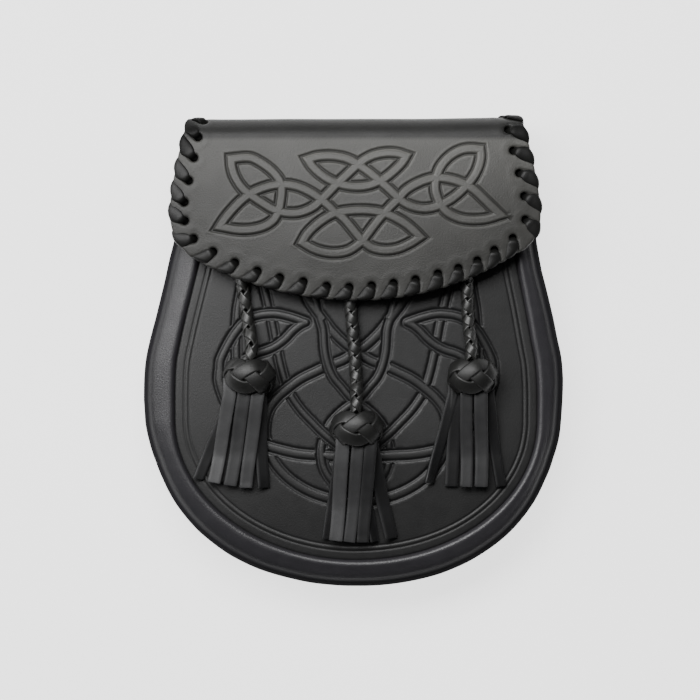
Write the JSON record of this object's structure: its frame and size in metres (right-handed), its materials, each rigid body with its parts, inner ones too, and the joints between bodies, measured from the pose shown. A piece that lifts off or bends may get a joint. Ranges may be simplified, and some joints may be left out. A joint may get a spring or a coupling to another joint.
{
  "type": "leather day sporran",
  "caption": "Leather pouch worn at the front of a kilt: rounded body with a rolled rim, laced flap with knot ornament, hanging tassels and a belt sleeve on the back.",
  "frame": {"origin": "middle of the footprint of the pouch lying on its back, on the surface it lies on, the tassels left out", "axes": "+X to the right as seen from the front, +Y up the pouch towards the fold of the flap, +Z out of the front"},
  "size_m": [0.18, 0.2046, 0.0483],
  "materials": {
    "flap_leather": "tooled, satin",
    "body_leather": "tooled, satin",
    "gusset_leather": "soft, finely streaked",
    "lace_leather": "polished flat lace",
    "braid_leather": "polished braid",
    "strip_leather": "satin"
  },
  "bodies": {
    "root": {"back_and_flap": "flap_leather", "front_panel": "body_leather", "gusset": "gusset_leather", "flap_lacing": "lace_leather", "belt_sleeve": "body_leather", "tassel_cord_left": "braid_leather", "tassel_cord_centre": "braid_leather", "tassel_cord_right": "braid_leather", "tassel_left": "strip_leather", "tassel_centre": "strip_leather", "tassel_right": "strip_leather"}
  },
  "joints": []
}
